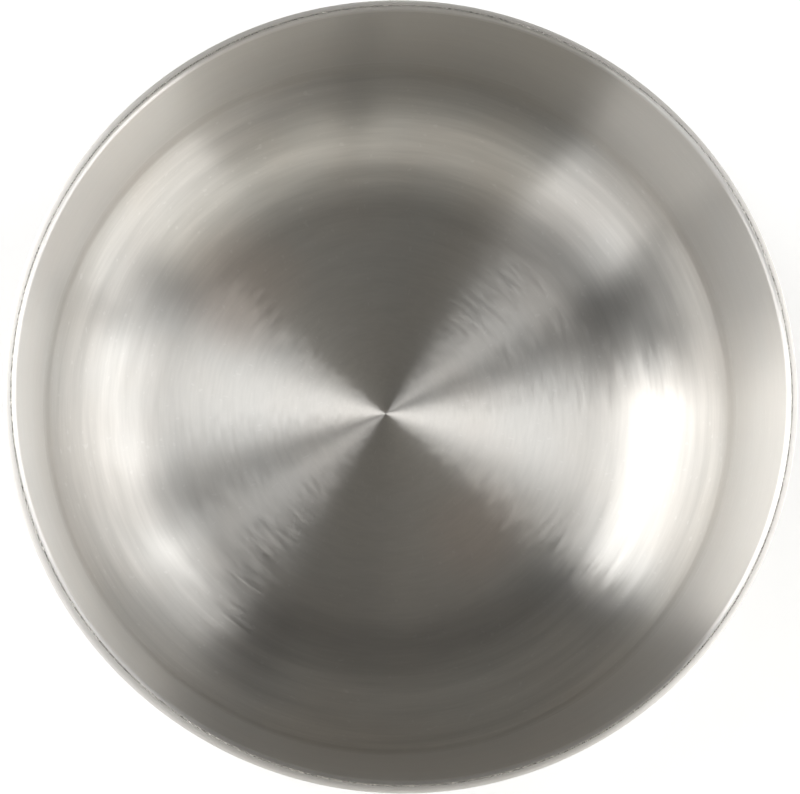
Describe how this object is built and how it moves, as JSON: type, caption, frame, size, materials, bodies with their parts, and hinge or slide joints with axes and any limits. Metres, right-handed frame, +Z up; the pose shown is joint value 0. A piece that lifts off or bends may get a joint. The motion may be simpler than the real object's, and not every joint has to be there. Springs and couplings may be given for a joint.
{
  "type": "double-walled serving bowl",
  "caption": "Round brushed stainless steel serving bowl with a double wall, a seam-welded rounded rim and a recessed base that stands on a flat ring.",
  "frame": {"origin": "centre of the base, on the plane that the bowl stands on", "axes": "+Z up along the bowl's axis of revolution, out of its mouth; X and Y are any two level directions"},
  "size_m": [0.28, 0.28, 0.102],
  "materials": {
    "inner_steel": "circular brushed",
    "outer_steel": "circular brushed, finer and duller under the base",
    "weld_steel": "ground weld",
    "plug_steel": "satin"
  },
  "bodies": {
    "root": {"inner_bowl": "inner_steel", "outer_bowl": "outer_steel", "rim_weld": "weld_steel", "vent_plug": "plug_steel"}
  },
  "joints": []
}
